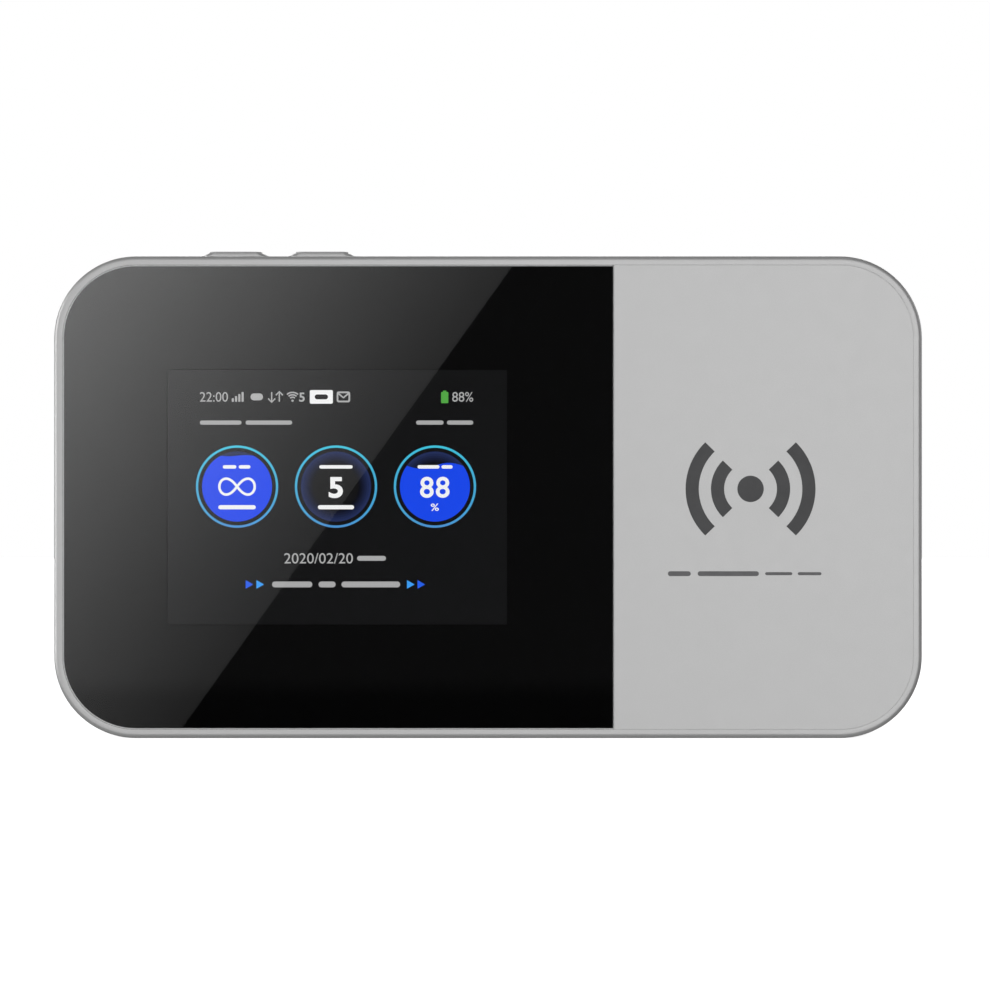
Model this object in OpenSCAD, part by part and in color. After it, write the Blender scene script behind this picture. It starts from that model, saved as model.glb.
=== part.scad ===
// Pocket mobile hotspot: a rounded slab with a display behind black glass, two edge buttons,
// a charging port, and a battery and card socket under a clip-on back cover.
// It stands on its long lower edge with the display facing -Y, the buttons up, and the display
// end towards -X. The origin is the middle of the edge that it stands on.
// The modules draw it lying on its back: x along the length, y towards the buttons, z out of
// the display, from the middle of the back. The last lines stand it up.

/* [Body] */
// Length of the body, along X
body_l = 125; // [123:0.5:130]
// Width of the body, along Y
body_w = 69.4; // [69:0.2:74]
// Thickness of the body, along Z
body_t = 15.6; // [15.4:0.1:17]
// Corner radius seen from the front
corner_r = 11.8; // [11:0.2:12.4]
// Width of the rim around the glass and the front panel
rim = 1.25; // [1.15:0.05:1.7]
// Rounding of the frame's front edge
front_edge_r = 0.8; // [0.4:0.1:1.1]
// Rounding of the back cover's edge
back_edge_r = 3; // [2:0.2:3.4]
// Height of the seam between back cover and frame
seam_z = 6.2; // [6:0.1:6.5]

/* [Front] */
// Length of the cover glass, from the rim to the front panel
glass_l = 79.3; // [76:0.1:81]
// Thickness of the cover glass and the front panel
glass_t = 0.85; // [0.7:0.05:0.9]
// Middle of the display, from the middle of the body
view_x = -21.7; // [-22.5:0.1:-21.2]
// Length of the display's lit area
view_l = 48.96; // [46:0.02:49.5]
// Width of the display's lit area
view_w = 36.72; // [35:0.02:37.5]

/* [Battery] */
// Length of the battery pack
battery_l = 85; // [78:0.5:85.5]
// Width of the battery pack
battery_w = 54; // [46:0.5:54.4]
// Thickness of the battery pack
battery_t = 5.4; // [4.8:0.1:5.5]

/* [Buttons] */
// Length of each edge button
button_l = 9.8; // [9:0.2:11]
// Height of each edge button
button_h = 3.2; // [2.6:0.2:3.4]
// How far an edge button stands out of the wall
button_proud = 0.85; // [0.5:0.05:1.1]
// Middle of the power button
power_x = -36.6; // [-37:0.1:-36]
// Distance between the two buttons
button_pitch = 12.5; // [12:0.1:14]

/* [Hidden] */
$fn = 64;
eps = 0.05;
fine = 32;

// Walls and gaps
wall = 1.5;
skin = 1.3;
ledge_t = 1;
tape_t = 0.15;
tape_in = 0.4;
tape_w = 3;
plate_gap = 0.05;
seam_gap = 0.15;
cover_top = seam_z - seam_gap;

// Levels of the stack, from the back cover upwards
film_t = 0.1;
battery_z = 1.6;
bay_z = battery_z + battery_t + 0.3;
chassis_t = 0.7;
deck_z = bay_z + chassis_t;
board_z = deck_z + 1.3;
board_t = 0.8;
board_top = board_z + board_t;
ledge_top = body_t - glass_t - tape_t;
ledge_z = ledge_top - ledge_t;
touch_t = 0.25;
cell_t = 1.1;
light_t = 1.2;
cell_top = body_t - glass_t - touch_t;
cell_z = cell_top - cell_t;
light_z = cell_z - light_t;
bracket_t = 0.3;
bracket_z = light_z - bracket_t;

// Front plates
plate_in = rim + plate_gap;
plate_split = -body_l / 2 + plate_in + glass_l;

// Display module
module_l = 60.3;
module_w = 42.7;
module_x = view_x + 2.45;
module_gap = 0.25;
light_cut = 1.5;

// Chassis and its battery bay
chassis_in = 2.7;
skirt_t = 0.8;
skirt_z = 4.4;
bay_gap = 0.4;
bay_wall = 1;
bay_relief = 0.6;
battery_x = -14;
bay_l = battery_l + 2 * bay_gap;
bay_w = battery_w + 2 * bay_gap;
bay_right = battery_x + bay_l / 2 + bay_wall;

// Screws along the edges of the chassis
screw_r = 0.7;
screw_head_r = 1.25;
screw_head_t = 0.9;
screw_l = 5.2;
screw_hole = 0.15;
recess_w = 0.32;
recess_share = 0.6;
boss_r = 1.7;
pillar_r = 1.65;
pilot_l = 2.9;
screw_y = body_w / 2 - 4.4;
screw_x = [-46.5, -10, 25];
end_screw = [54, 25];
SCREWS = [for (x = screw_x, s = [-1, 1]) [x, s * screw_y],
          for (s = [-1, 1]) [end_screw[0], s * end_screw[1]]];
head_z = bay_z - 0.1;
pillar_z = head_z - screw_head_t - 0.3;

// Screws that hold the display bracket
bracket_screw_y = 24;
bracket_screw_r = 0.5;
bracket_screw_l = 1.3;
bracket_head_r = 0.95;
bracket_head_t = 0.35;
bracket_boss_r = 1.5;
BRACKET_SCREWS = [for (x = [module_x - 22, module_x + 14], s = [-1, 1])
                  [x, s * bracket_screw_y]];

// Main board
board_in = 3.3;
port_cut_w = 9.4;
can_t = 0.2;

// What the board carries: its middle and its size in plan, and its height above the board
MODEM_CAN = [[-26, 0], [32, 34], 1.5];
WLAN_CAN = [[-1.6, 13], [12, 15], 1.5];
RADIO_CAN = [[27, 3], [24, 34], 1.8];
MODEM_CHIP = [[-30, 3], [15, 15], 0.9];
MEMORY_CHIP = [[-16, 3], [9, 11.5], 0.8];
WLAN_CHIP = [[-1.6, 13], [8, 8], 0.8];
POWER_CHIP = [[-2, -7], [5, 5], 0.7];
RADIO_CHIPS = [for (x = [20.5, 27, 33.5], y = [-7, 3, 13]) [[x, y], [4.6, 3.8], 0.8]];
INDUCTORS = [for (x = [-6, -1.6, 2.8], y = [-13, -17.5]) [[x, y], [2.5, 2], 1]];
CAPACITORS = [for (i = [0:11]) [[-50 + 0.6 * (i % 2), -18 + 3.2 * i], [1, 0.5], 0.5],
              for (i = [0:7], y = [-8, 12]) [[43 + 1.7 * i, y], [0.6, 1.2], 0.6]];
pad_l = 12;
pad_h = 0.4;
connector_l = 18;
connector_w = 3;
connector_h = 0.9;
flex_t = 0.15;
flex_w = 16;

// Charging port in the end by the display
port_w = 8.94;
port_h = 3.16;
port_depth = 7.3;
port_wall = 0.3;
port_gap = 0.15;
port_back = 0.6;
port_in = 0.5;
port_z = board_z + 0.4;
tongue_t = 0.7;
tongue_w = 6.7;
tongue_l = 5.9;

// Edge buttons and their switches
BUTTON_X = [power_x, power_x + button_pitch];
button_z = board_top + 0.9;
button_gap = 0.15;
button_top_l = 7.5;
button_top_h = 2.4;
button_shoulder = 0.3;
flange_t = 0.7;
flange_y = body_w / 2 - wall - 0.1;
stem_l = 0.4;
stem_r = 0.6;
plunger_y = flange_y - flange_t - stem_l;
plunger_l = 1.6;
plunger_d = 1.3;
plunger_h = 0.8;
plunger_gap = 0.08;
switch_l = 4.6;
switch_d = 2.2;
switch_h = 1.8;
switch_y = plunger_y - 0.6;

// Card socket on the rear of the board
card_l = 12.3;
card_w = 8.8;
card_t = 0.67;
card_x = 39.5;
card_y = 5.5;
card_z = board_z - 1.02;
pad_t = 0.05;
socket_y = [0.2, 12.7];
socket_w = 11.6;
socket_h = 1.25;
card_window_x = [33, 46];
card_window_y = [-14.5, 13.5];

// Reset switch on the rear of the board
reset_at = [39.5, 21];
reset_r = 0.6;
reset_hole_r = 0.8;
reset_switch_w = 3;
reset_switch_h = 0.9;

// Battery contacts beside the bay
contact_y = -20;
contact_w = 10;
contact_gap = 2.8;
CONTACTS = [for (i = [-1:1]) contact_y + i * contact_gap];
contact_z = 3.4;
cap_l = 3;
battery_edge = 1;
spring_t = 0.2;
spring_w = 0.8;

// Antennas
carrier_x = [47.6, body_l / 2 - 3.6];
carrier_w = 42;
carrier_z = 2;
carrier_wall = 1;
carrier_pitch = 13.4;
carrier_pocket = 12;
antenna_t = 0.12;
FEEDS = [-carrier_pitch / 2, carrier_pitch / 2];
feed_l = 4;
feed_w = 1;
panel_feed_x = 54;
PANEL_FEEDS = [-5, 3];

// Cover hooks
hook_l = 7;
hook_t = 0.7;
hook_in = wall + 0.15;
hook_top = seam_z + 2;
rib_t = 0.1;
rib_h = 0.6;
rib_drop = 1.1;
hook_x = [-40, -18, 13, 42];
hook_y = [-13, 13];

// ---- Shared shapes ----

// Outline of the body, moved inwards by inset
module outline(inset = 0) {
    l = body_l - 2 * inset;
    w = body_w - 2 * inset;
    r = corner_r - inset;
    square([l - 2 * r, w], center = true);
    square([l, w - 2 * r], center = true);
    for (x = [-1, 1], y = [-1, 1])
        translate([x * (l / 2 - r), y * (w / 2 - r)]) circle(r);
}

// Plate with the body's outline, moved inwards by inset, from z0 to z1
module slab(inset, z0, z1) {
    translate([0, 0, z0]) linear_extrude(z1 - z0) outline(inset);
}

// Band of the body's outline between two insets
module band(outer, inner, z0, z1) {
    difference() {
        slab(outer, z0, z1);
        slab(inner, z0 - eps, z1 + eps);
    }
}

// Sweeps a profile round the body. The profile's x runs from a corner's centre to the wall
module swept() {
    half_l = body_l / 2 - corner_r;
    half_w = body_w / 2 - corner_r;
    for (i = [0:3]) {
        side = i % 2 == 0 ? half_l : half_w;
        span = i % 2 == 0 ? half_w : half_l;
        rotate([0, 0, 90 * i]) translate([side, span, 0]) {
            rotate([90, 0, 0]) linear_extrude(2 * span) children();
            rotate_extrude(angle = 90) children();
        }
    }
}

// Fills the middle that swept() leaves open
module core(z0, z1) {
    translate([0, 0, (z0 + z1) / 2])
        cube([body_l - 2 * corner_r, body_w - 2 * corner_r, z1 - z0], center = true);
}

// Block centred in plan at at, from z0 up to z1
module block(at, size, z0, z1) {
    translate([at[0] - size[0] / 2, at[1] - size[1] / 2, z0])
        cube([size[0], size[1], z1 - z0]);
}

// Long round-ended bar of length l and height h, that runs from y0 to y1
module pill(l, h, y0, y1) {
    translate([0, y1, 0]) rotate([90, 0, 0]) linear_extrude(y1 - y0) {
        square([l - h, h], center = true);
        for (s = [-1, 1]) translate([s * (l - h) / 2, 0]) circle(h / 2);
    }
}

// Places what is drawn about a port at the origin, its mouth towards -y, in the end wall
module at_port() {
    translate([-body_l / 2, 0, port_z]) rotate([0, 0, -90]) children();
}

// Block that stands on the board: its middle, its size in plan, and its height
module on_board(p) {
    block(p[0], p[1], board_top, board_top + p[2]);
}

// Box with a lid and four walls, open towards the board
module can(p) {
    inner = [p[1][0] - 2 * can_t, p[1][1] - 2 * can_t];
    difference() {
        on_board(p);
        block(p[0], inner, board_top - eps, board_top + p[2] - can_t);
    }
}

// Screw with a cross recess, its head at z and its shank upwards
module screw(at, z, r, head_r, head_t, l) {
    translate([at[0], at[1], z]) difference() {
        union() {
            translate([0, 0, -head_t]) cylinder(r = head_r, h = head_t, $fn = fine);
            translate([0, 0, -eps]) cylinder(r = r, h = l + eps, $fn = fine);
        }
        for (a = [0, 90]) rotate([0, 0, a])
            translate([-head_r * recess_share, -recess_w / 2, -head_t - eps])
                cube([2 * head_r * recess_share, recess_w, head_t * recess_share]);
    }
}

// ---- Outer shells ----

module frame_profile() {
    f = front_edge_r;
    difference() {
        union() {
            translate([0, seam_z]) square([corner_r, body_t - f - seam_z]);
            translate([0, seam_z]) square([corner_r - f, body_t - seam_z]);
            translate([corner_r - f, body_t - f]) circle(f);
        }
        translate([-1, seam_z - 1]) square([corner_r - wall + 1, ledge_z - seam_z + 1]);
        translate([-1, ledge_top]) square([corner_r - rim + 1, body_t]);
    }
}

module display_window() {
    block([module_x, 0], [module_l + 2 * module_gap, module_w + 2 * module_gap],
          ledge_z - 1, ledge_top + 1);
}

module screw_bosses() {
    for (p = SCREWS) translate([p[0], p[1], board_top])
        cylinder(r = boss_r, h = ledge_z - board_top + eps, $fn = fine);
}

module bracket_bosses() {
    for (p = BRACKET_SCREWS) translate([p[0], p[1], bracket_z + bracket_t])
        cylinder(r = bracket_boss_r, h = ledge_z - bracket_z - bracket_t + eps, $fn = fine);
}

module front_frame() {
    color("silver") difference() {
        union() {
            swept() frame_profile();
            core(ledge_z, ledge_top);
            screw_bosses();
            bracket_bosses();
        }
        display_window();
        for (p = SCREWS) translate([p[0], p[1], board_top - eps])
            cylinder(r = screw_r + eps, h = pilot_l, $fn = fine);
        for (p = BRACKET_SCREWS) translate([p[0], p[1], bracket_z])
            cylinder(r = bracket_screw_r + eps, h = bracket_screw_l + 0.1, $fn = fine);
        for (x = BUTTON_X) translate([x, 0, button_z])
            pill(button_l + 2 * button_gap, button_h + 2 * button_gap,
                 body_w / 2 - wall - 1, body_w / 2 + 1);
        at_port() pill(port_w + 2 * port_gap, port_h + 2 * port_gap, -1, wall + 1);
        hook_grooves();
    }
}

// Shallow grooves inside the long walls, level with the ribs on the cover's hooks
module hook_grooves() {
    for (x = hook_x, s = [-1, 1])
        block([x, s * (body_w / 2 - wall)], [hook_l + rib_h, 3 * rib_t],
              hook_top - rib_drop - rib_t, hook_top - rib_drop + rib_h + rib_t);
}

module plate_outline(inset) {
    intersection() {
        outline(plate_in + inset);
        children();
    }
}

module cover_glass() {
    color("black") translate([0, 0, body_t - glass_t]) linear_extrude(glass_t)
        plate_outline(0) translate([-body_l / 2, -body_w / 2])
            square([plate_split - plate_gap / 2 + body_l / 2, body_w]);
}

// Outline of the area right of the split, inset from the rim and from the split
module panel_area(inset) {
    plate_outline(inset) translate([plate_split + max(inset, plate_gap / 2), -body_w / 2])
        square([body_l, body_w]);
}

module front_panel() {
    color("silver") translate([0, 0, body_t - glass_t]) linear_extrude(glass_t) panel_area(0);
}

module glass_adhesive() {
    color("dimgray") difference() {
        translate([0, 0, ledge_top]) linear_extrude(tape_t)
            plate_outline(tape_in) translate([-body_l / 2, -body_w / 2])
                square([plate_split - tape_in + body_l / 2, body_w]);
        display_window();
    }
}

module panel_adhesive() {
    color("dimgray") translate([0, 0, ledge_top]) linear_extrude(tape_t) difference() {
        panel_area(tape_in);
        panel_area(tape_in + tape_w);
    }
}

// ---- Display ----

module touch_sensor() {
    color("darkslategray")
        block([view_x, 0], [view_l + 3.4, view_w + 3.4], cell_top, cell_top + touch_t);
}

module lcd_cell() {
    color("midnightblue") block([module_x, 0], [module_l, module_w], cell_z, cell_top);
}

module backlight_unit() {
    color("white") difference() {
        block([module_x - light_cut / 2, 0], [module_l - light_cut, module_w],
              light_z, cell_z);
        block([view_x, 0], [view_l - 2, view_w - 2], light_z - eps, light_z + 0.2);
    }
}

module display_bracket() {
    left = module_x - module_l / 2 + 1;
    right = 6;
    color("lightgray") difference() {
        union() {
            block([(left + right) / 2, 0], [right - left, module_w - 2],
                  bracket_z, bracket_z + bracket_t);
            for (p = BRACKET_SCREWS)
                block([p[0], 0], [5, 2 * abs(p[1]) + 4], bracket_z, bracket_z + bracket_t);
        }
        for (p = BRACKET_SCREWS) translate([p[0], p[1], bracket_z - 1])
            cylinder(r = bracket_screw_r + 0.1, h = 2, $fn = fine);
        for (x = [left + 9 : 9 : right - 8])
            translate([x, 0, bracket_z - 1]) cylinder(r = 2.2, h = 2, $fn = fine);
    }
}

// Ribbon that leaves the lit cell's end, turns under it and lands on the board's connector
module display_flex() {
    bond_x = module_x + module_l / 2 - 1.3;
    bend_x = module_x + module_l / 2 + 0.9;
    top = cell_z;
    low = board_top + connector_h;
    bend_r = (top - low) / 2;
    middle = (top + low) / 2;
    color("orange") translate([0, flex_w / 2, 0]) rotate([90, 0, 0]) linear_extrude(flex_w) {
        translate([bond_x, top - flex_t]) square([bend_x - bond_x, flex_t]);
        translate([bend_x - 3.8, low]) square([3.8, flex_t]);
        intersection() {
            translate([bend_x, middle]) difference() {
                circle(bend_r);
                circle(bend_r - flex_t);
            }
            translate([bend_x, low]) square([2 * bend_r, 2 * bend_r]);
        }
    }
}

module display_connector() {
    color("ivory") block([module_x + module_l / 2 - 1.6, 0], [connector_w, connector_l],
                         board_top, board_top + connector_h);
}

module heat_spreader() {
    left = module_x - module_l / 2 + 6;
    color("darkgray") block([(left + 4.6) / 2, 0], [4.6 - left, 39],
                            board_top + 1.5, board_top + 1.6);
}

// ---- Board and what is on it ----

module main_board() {
    color("darkgreen") difference() {
        slab(board_in, board_z, board_top);
        for (p = SCREWS) translate([p[0], p[1], board_z - 1])
            cylinder(r = screw_r + screw_hole, h = 3, $fn = fine);
        at_port() block([0, port_in + port_depth / 2], [port_cut_w, port_depth + 0.5], -2, 2);
    }
}

module modem_shield() { color("lightgray") can(MODEM_CAN); }
module wlan_shield() { color("lightgray") can(WLAN_CAN); }
module radio_shield() { color("lightgray") can(RADIO_CAN); }
module modem_chip() { color("dimgray") on_board(MODEM_CHIP); }
module memory_chip() { color("dimgray") on_board(MEMORY_CHIP); }
module wlan_chip() { color("dimgray") on_board(WLAN_CHIP); }
module power_chip() { color("dimgray") on_board(POWER_CHIP); }
module radio_modules() { color("dimgray") for (p = RADIO_CHIPS) on_board(p); }
module power_inductors() { color("gray") for (p = INDUCTORS) on_board(p); }
module board_capacitors() { color("tan") for (p = CAPACITORS) on_board(p); }

// Soft pad between the modem chip and the lid of its can
module thermal_pad() {
    z0 = board_top + MODEM_CHIP[2];
    color("lightpink") block(MODEM_CHIP[0], [pad_l, pad_l], z0, z0 + pad_h);
}

module port_shell() {
    tab_in = port_w / 2 - 0.6;
    tab_out = port_cut_w / 2 + 0.8;
    color("silver") at_port() {
        difference() {
            pill(port_w, port_h, port_in, port_in + port_depth);
            pill(port_w - 2 * port_wall, port_h - 2 * port_wall,
                 port_in - eps, port_in + port_depth - port_back);
        }
        for (s = [-1, 1], y = [3, 5.6])
            block([s * (tab_in + tab_out) / 2, port_in + y], [tab_out - tab_in, 1.2],
                  board_top - port_z, board_top - port_z + port_wall);
    }
}

module port_tongue() {
    color("dimgray") at_port()
        block([0, port_in + port_depth - port_back - tongue_l / 2], [tongue_w, tongue_l],
              -tongue_t / 2, tongue_t / 2);
}

module edge_switch(x) {
    difference() {
        block([x, switch_y - switch_d / 2], [switch_l, switch_d],
              board_top, board_top + switch_h);
        block([x, switch_y - 0.5], [plunger_l + 2 * plunger_gap, plunger_d + 0.1],
              button_z - plunger_h / 2 - plunger_gap, button_z + plunger_h / 2 + plunger_gap);
    }
}

module power_switch() { color("lightgray") edge_switch(BUTTON_X[0]); }
module pairing_switch() { color("lightgray") edge_switch(BUTTON_X[1]); }

module reset_switch() {
    color("lightgray") translate([reset_at[0], reset_at[1], 0]) difference() {
        block([0, 0], [reset_switch_w, reset_switch_w], board_z - reset_switch_h, board_z);
        translate([0, 0, board_z - 1]) cylinder(r = reset_r + 0.06, h = 0.8, $fn = fine);
    }
}

module card_socket() {
    middle = (socket_y[0] + socket_y[1]) / 2;
    length = socket_y[1] - socket_y[0];
    color("lightgray") difference() {
        block([card_x, middle], [socket_w, length], board_z - socket_h, board_z);
        block([card_x, card_y - 0.9], [card_w + 0.3, card_l + 2],
              card_z - 0.06, card_z + card_t + 0.06);
        block([card_x, socket_y[0]], [card_w - 1.6, 6], board_z - socket_h - 1, card_z);
    }
}

module battery_contacts() {
    color("dimgray") difference() {
        block([bay_right + 1.2, contact_y], [2.4, contact_w], contact_z - 0.6, board_z);
        for (y = CONTACTS)
            block([bay_right, y], [3, 1.2], contact_z, board_z - 1.2);
    }
}

// Bent leaf contacts that reach through the bay's wall to the battery's end
module contact_springs() {
    tip = battery_x + battery_l / 2;
    post_x = bay_right + 0.8;
    low = contact_z + 1.1;
    color("gold") for (y = CONTACTS) {
        block([(tip + post_x) / 2, y], [post_x - tip, spring_w], low, low + spring_t);
        block([post_x + spring_t / 2, y], [spring_t, spring_w], low, board_z - 1.3);
    }
}

// ---- Chassis ----

module bay_block(extra, z0, z1) {
    block([battery_x, 0], [bay_l + 2 * extra, bay_w + 2 * extra], z0, z1);
}

module chassis() {
    color("darkgray") difference() {
        union() {
            slab(chassis_in, bay_z, deck_z);
            band(chassis_in, chassis_in + skirt_t, skirt_z, bay_z + eps);
            intersection() {
                bay_block(bay_wall, battery_z, bay_z + eps);
                slab(chassis_in, 0, body_t);
            }
            for (p = SCREWS) translate([p[0], p[1], pillar_z])
                cylinder(r = pillar_r, h = board_z - pillar_z, $fn = fine);
            translate([reset_at[0], reset_at[1], bay_z - 0.6])
                cylinder(r = 1.8, h = 0.6 + eps, $fn = fine);
        }
        bay_block(0, 0, bay_z);
        for (p = SCREWS) translate([p[0], p[1], 0]) {
            cylinder(r = screw_r + screw_hole, h = body_t, $fn = fine);
            cylinder(r = screw_head_r + screw_hole, h = head_z, $fn = fine);
        }
        for (y = FEEDS)
            block([carrier_x[0] + feed_l / 2, y], [feed_l, 2 * feed_w], bay_z - 1, deck_z + 1);
        translate([(card_window_x[0] + card_window_x[1]) / 2,
                   (card_window_y[0] + card_window_y[1]) / 2, 0])
            block([0, 0], [card_window_x[1] - card_window_x[0],
                           card_window_y[1] - card_window_y[0]], bay_z - 1, deck_z + 1);
        translate([reset_at[0], reset_at[1], 0])
            cylinder(r = reset_hole_r, h = body_t, $fn = fine);
        block([bay_right + 1.2, contact_y], [2.6, contact_w + 0.3], 0, body_t);
        for (y = CONTACTS)
            block([bay_right, y], [3, 1.2], contact_z, contact_z + 2.4);
        for (x = [-1, 1], y = [-1, 1])
            translate([battery_x + x * bay_l / 2, y * bay_w / 2, 0])
                cylinder(r = bay_relief, h = bay_z, $fn = fine);
    }
}

module chassis_screws() {
    color("silver") for (p = SCREWS)
        screw(p, head_z, screw_r, screw_head_r, screw_head_t, screw_l);
}

module bracket_screws() {
    color("silver") for (p = BRACKET_SCREWS)
        screw(p, bracket_z, bracket_screw_r, bracket_head_r, bracket_head_t, bracket_screw_l);
}

// ---- Antennas ----

module antenna_carrier() {
    x0 = carrier_x[0];
    l = carrier_x[1] - x0;
    color("dimgray") difference() {
        block([x0 + l / 2, 0], [l, carrier_w], carrier_z, bay_z);
        for (i = [-1:1])
            block([x0 + l / 2, i * carrier_pitch], [l - 2 * carrier_wall, carrier_pocket],
                  carrier_z + carrier_wall, bay_z + 1);
        for (y = FEEDS)
            block([x0 + feed_l / 2, y], [feed_l + 1, feed_w + 0.2],
                  bay_z - antenna_t - 0.02, bay_z + 1);
    }
}

// Film on the carrier's outer face, with two feeds that turn up its side to its top
module main_antenna() {
    x0 = carrier_x[0];
    l = carrier_x[1] - x0;
    z0 = carrier_z - antenna_t;
    pad_z = bay_z - antenna_t - 0.02;
    color("goldenrod") {
        block([x0 + 1.4, 0], [1.6, carrier_w - 3], z0, carrier_z);
        for (i = [-3:3])
            block([x0 + l / 2 + 0.6, i * 6], [l - 3, 2.2], z0, carrier_z);
        for (y = FEEDS) {
            block([x0 + 0.6, y], [1.2 + 2 * antenna_t, feed_w], z0, carrier_z);
            block([x0 - antenna_t / 2, y], [antenna_t, feed_w], z0, pad_z + antenna_t);
            block([x0 + feed_l / 2 - antenna_t / 2, y], [feed_l + antenna_t, feed_w],
                  pad_z, pad_z + antenna_t);
        }
    }
}

module panel_antenna() {
    z0 = ledge_z - antenna_t;
    x = panel_feed_x;
    color("goldenrod") {
        block([x - 3, PANEL_FEEDS[0]], [8, 2], z0, ledge_z);
        block([x, 2.5], [2, 17], z0, ledge_z);
        block([x - 6.5, 10], [15, 2], z0, ledge_z);
    }
}

module side_antennas() {
    y0 = body_w / 2 - chassis_in;
    color("goldenrod") for (s = [-1, 1], x = [-28, 29])
        block([x, s * (y0 + antenna_t / 2)], [16, antenna_t], skirt_z + 0.3, deck_z - 0.2);
}

module antenna_springs() {
    color("gold") {
        for (y = PANEL_FEEDS)
            block([panel_feed_x, y], [1, 1.6], board_top, ledge_z - antenna_t);
        for (y = FEEDS)
            block([carrier_x[0] + feed_l / 2, y], [1.4, 0.8], bay_z - 0.02, board_z);
    }
}

// ---- Battery ----

// Wrapped cell with four rounded long edges
module battery_pack() {
    r = battery_edge;
    l = battery_l - cap_l;
    color("whitesmoke") translate([battery_x - battery_l / 2, 0, battery_z]) {
        translate([0, r - battery_w / 2, 0]) cube([l, battery_w - 2 * r, battery_t]);
        translate([0, -battery_w / 2, r]) cube([l, battery_w, battery_t - 2 * r]);
        for (s = [-1, 1], z = [r, battery_t - r])
            translate([0, s * (battery_w / 2 - r), z]) rotate([0, 90, 0])
                cylinder(r = r, h = l, $fn = fine);
    }
}

module battery_end_cap() {
    color("dimgray") difference() {
        block([battery_x + (battery_l - cap_l) / 2, 0], [cap_l, battery_w],
              battery_z, battery_z + battery_t);
        battery_terminals();
    }
}

module battery_terminals() {
    color("gold") for (y = CONTACTS)
        block([battery_x + battery_l / 2 - 0.25, y], [0.5, 1.8],
              contact_z - 0.4, contact_z + 2.4);
}

// ---- Back cover ----

// Wall and rounded lower edge of the tray, the same thickness all the way round the edge
module cover_profile() {
    f = back_edge_r;
    g = back_edge_r - skin;
    difference() {
        union() {
            translate([0, f]) square([corner_r, cover_top - f]);
            square([corner_r - f, cover_top]);
            translate([corner_r - f, f]) circle(f);
        }
        translate([-1, skin + g]) square([corner_r - wall + 1, body_t]);
        translate([-1, skin]) square([corner_r - wall - g + 1, body_t]);
        translate([corner_r - wall - g, skin + g]) circle(g);
    }
}

// Hook at x on the wall whose outer face is at side: a foot on the cover's wall carries a
// tongue that stands inside the frame's wall, with a rib near its tip
module hook(x, side) {
    root = back_edge_r;
    foot = cover_top - 0.4;
    outer = side - hook_in;
    translate([x - hook_l / 2, outer - hook_t, root]) {
        cube([hook_l, hook_t, hook_top - root]);
        cube([hook_l, hook_t + hook_in - wall + eps, foot - root]);
    }
    translate([x - hook_l / 2, outer - eps, hook_top - rib_drop])
        cube([hook_l, rib_t + eps, rib_h]);
}

module back_cover() {
    color("gainsboro") difference() {
        union() {
            swept() cover_profile();
            core(0, skin);
            for (x = hook_x) {
                hook(x, body_w / 2);
                rotate([0, 0, 180]) hook(x, body_w / 2);
            }
            for (y = hook_y) {
                rotate([0, 0, -90]) hook(y, body_l / 2);
                rotate([0, 0, 90]) hook(y, body_l / 2);
            }
        }
        nail_notch();
    }
}

// Notch in the seam that a fingernail lifts the cover by
module nail_notch() {
    translate([body_l / 2 - 0.7, -5, cover_top - 0.9]) cube([2, 10, 2]);
}

module cover_film() {
    color("dimgray")
        block([battery_x, 0], [battery_l - 10, battery_w - 8], skin, skin + film_t);
}

// ---- Buttons, plungers and card ----

module edge_button(x) {
    y0 = body_w / 2;
    translate([x, 0, button_z]) {
        pill(button_l + 2, button_h + 1.2, flange_y - flange_t, flange_y);
        pill(button_l, button_h, flange_y - eps, y0 - button_shoulder + eps);
        hull() {
            pill(button_l, button_h, y0 - button_shoulder, y0 + button_shoulder);
            pill(button_top_l, button_top_h, y0, y0 + button_proud);
        }
        translate([0, flange_y - flange_t + eps, 0]) rotate([90, 0, 0])
            cylinder(r = stem_r, h = stem_l + eps, $fn = fine);
    }
}

module edge_plunger(x) {
    block([x, plunger_y - plunger_d / 2], [plunger_l, plunger_d],
          button_z - plunger_h / 2, button_z + plunger_h / 2);
}

module power_button() { color("silver") edge_button(BUTTON_X[0]); }
module pairing_button() { color("silver") edge_button(BUTTON_X[1]); }
module power_plunger() { color("dimgray") edge_plunger(BUTTON_X[0]); }
module pairing_plunger() { color("dimgray") edge_plunger(BUTTON_X[1]); }

module reset_plunger() {
    color("dimgray") translate([reset_at[0], reset_at[1], board_z - 1.2])
        cylinder(r = reset_r, h = 0.7, $fn = fine);
}

module sim_card() {
    cut = 1.7;
    x0 = card_x - card_w / 2;
    y0 = card_y - card_l / 2;
    color("white") translate([0, 0, card_z]) linear_extrude(card_t - pad_t)
        polygon([[x0, y0], [x0 + card_w, y0], [x0 + card_w, y0 + card_l - cut],
                 [x0 + card_w - cut, y0 + card_l], [x0, y0 + card_l]]);
}

module sim_contacts() {
    color("gold") for (i = [-1:1], s = [-1, 1])
        block([card_x + s * 2.2, card_y + i * 2.6], [3.6, 2.2],
              card_z + card_t - pad_t, card_z + card_t);
}

// ---- The nodes, stood on the lower edge ----

module stand() {
    translate([0, body_t / 2, body_w / 2]) rotate([90, 0, 0]) children();
}

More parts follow.
